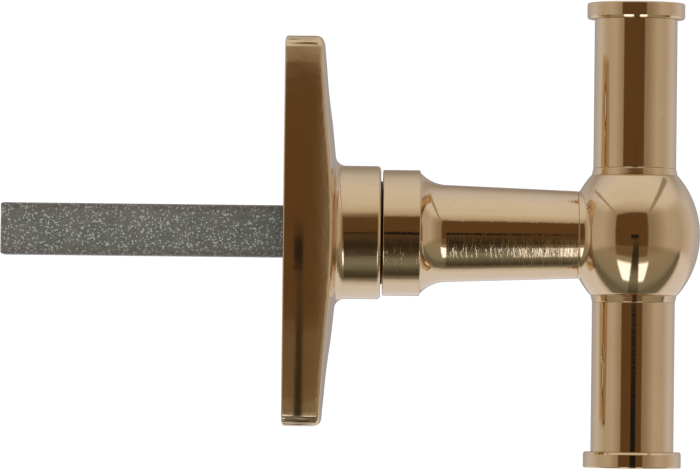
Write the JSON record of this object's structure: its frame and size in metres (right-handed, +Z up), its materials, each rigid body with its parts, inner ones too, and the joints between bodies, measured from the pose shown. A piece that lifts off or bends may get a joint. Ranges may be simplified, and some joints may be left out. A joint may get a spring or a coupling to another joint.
{
  "type": "window handle",
  "caption": "T-bar window handle: small tapered brass rose with hub, turning neck with ball and flanged cross bar, square steel spindle.",
  "frame": {"origin": "middle of the rose's back face, on the spindle's axis and midway between the two fixing screws", "axes": "+X out of the window along the spindle and neck, +Z up along the rose and the T-bar at rest, +Y to complete a right-handed frame"},
  "size_m": [0.0949, 0.024, 0.0632],
  "materials": {
    "polished_brass": "polished",
    "zinc_plated_steel": "dull zinc plating",
    "bright_steel": "bright turned",
    "spring_steel": "blued",
    "black_nylon": "moulded"
  },
  "bodies": {
    "rose": {"rose_plate": "polished_brass", "journal_bush": "black_nylon", "cover_plate": "zinc_plated_steel", "cover_screws": "bright_steel", "upper_detent_spring": "spring_steel", "lower_detent_spring": "spring_steel"},
    "handle": {"handle_neck": "polished_brass", "grip_ball": "polished_brass", "upper_foot_ring": "polished_brass", "lower_foot_ring": "polished_brass", "upper_arm": "polished_brass", "lower_arm": "polished_brass", "upper_end_cap": "polished_brass", "lower_end_cap": "polished_brass", "square_spindle": "zinc_plated_steel", "spindle_pin": "bright_steel", "neck_stud": "bright_steel", "tie_rod": "bright_steel", "detent_cam": "bright_steel", "thrust_washer": "bright_steel", "retaining_ring": "spring_steel"}
  },
  "joints": [
    {"name": "handle_turn", "type": "hinge", "parent": "rose", "child": "handle", "pos_m": [0, 0, 0], "axis": [1, 0, 0], "continuous": true, "deforming": ["upper_detent_spring", "lower_detent_spring"]}
  ]
}
